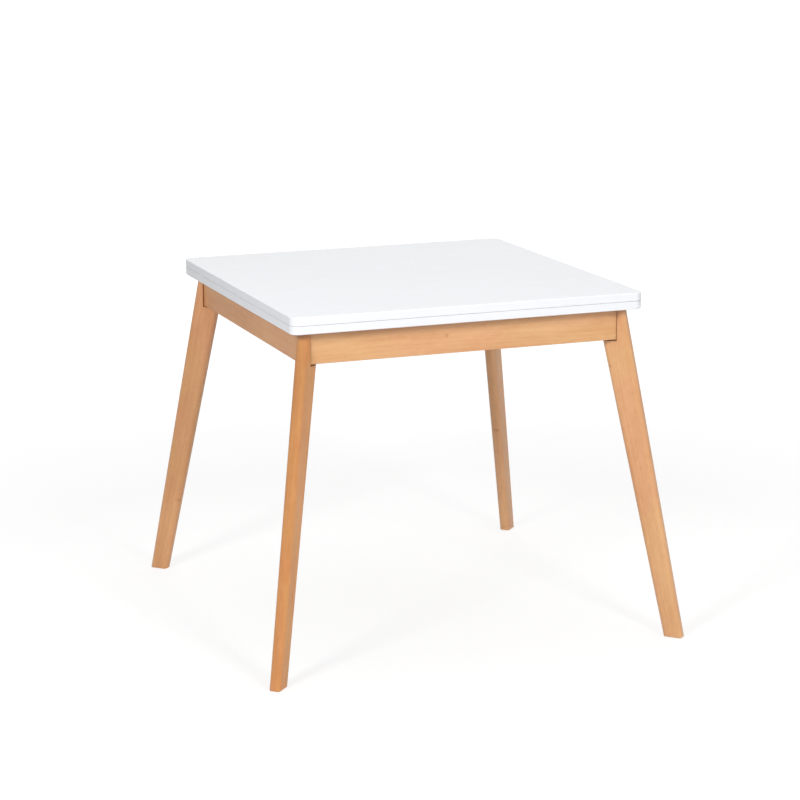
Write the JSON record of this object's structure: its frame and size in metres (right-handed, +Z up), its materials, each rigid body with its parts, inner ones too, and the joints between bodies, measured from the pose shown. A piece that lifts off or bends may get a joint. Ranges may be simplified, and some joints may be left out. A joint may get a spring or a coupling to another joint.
{
  "type": "folding dining table",
  "caption": "Square dining table with two stacked leaves that swivel a quarter turn on a splayed-leg frame and fold open to double the top.",
  "frame": {"origin": "floor level under the centre of the frame and of the closed top", "axes": "+Z up, +Y towards the rear edge where the closed leaves are hinged, +X to the right seen from the front"},
  "size_m": [0.962, 0.962, 0.768],
  "materials": {
    "beech": "clear matt lacquer on solid beech",
    "white_lacquer": "white satin lacquer on fibreboard",
    "zinc_steel": "zinc plated",
    "brass": "turned",
    "nylon": "moulded"
  },
  "bodies": {
    "frame": {"front_apron": "beech", "rear_apron": "beech", "left_apron": "beech", "right_apron": "beech", "front_left_leg": "beech", "front_right_leg": "beech", "rear_left_leg": "beech", "rear_right_leg": "beech", "front_left_corner_block": "beech", "front_right_corner_block": "beech", "rear_left_corner_block": "beech", "rear_right_corner_block": "beech", "corner_block_screws": "zinc_steel", "leg_bolts": "zinc_steel", "leg_inserts": "brass", "swivel_rail": "beech", "front_rail_cleat": "beech", "rear_rail_cleat": "beech", "rail_screws": "zinc_steel", "cleat_screws": "zinc_steel", "swivel_base_plate": "zinc_steel", "base_plate_screws": "zinc_steel", "swivel_slip_washer": "nylon", "apron_glides": "nylon", "foot_glides": "nylon"},
    "lower_top": {"lower_leaf": "white_lacquer", "swivel_top_plate": "zinc_steel", "top_plate_screws": "zinc_steel", "swivel_stop_stud": "zinc_steel", "pivot_bolt": "zinc_steel", "pivot_washer": "zinc_steel", "pivot_lock_nut": "zinc_steel", "lower_hinge_wings": "zinc_steel", "hinge_pins": "zinc_steel", "lower_wing_screws": "zinc_steel", "leaf_bumpers": "nylon"},
    "upper_top": {"upper_leaf": "white_lacquer", "upper_hinge_wings": "zinc_steel", "upper_wing_screws": "zinc_steel"}
  },
  "joints": [
    {"name": "top_swivel", "type": "hinge", "parent": "frame", "child": "lower_top", "pos_m": [0.20015, 0.20015, 0.728], "axis": [0, 0, 1], "range_deg": [0, 90]},
    {"name": "leaf_fold", "type": "hinge", "parent": "lower_top", "child": "upper_top", "pos_m": [0, 0.4003, 0.7497], "axis": [-1, 0, 0], "range_deg": [0, 180]}
  ]
}
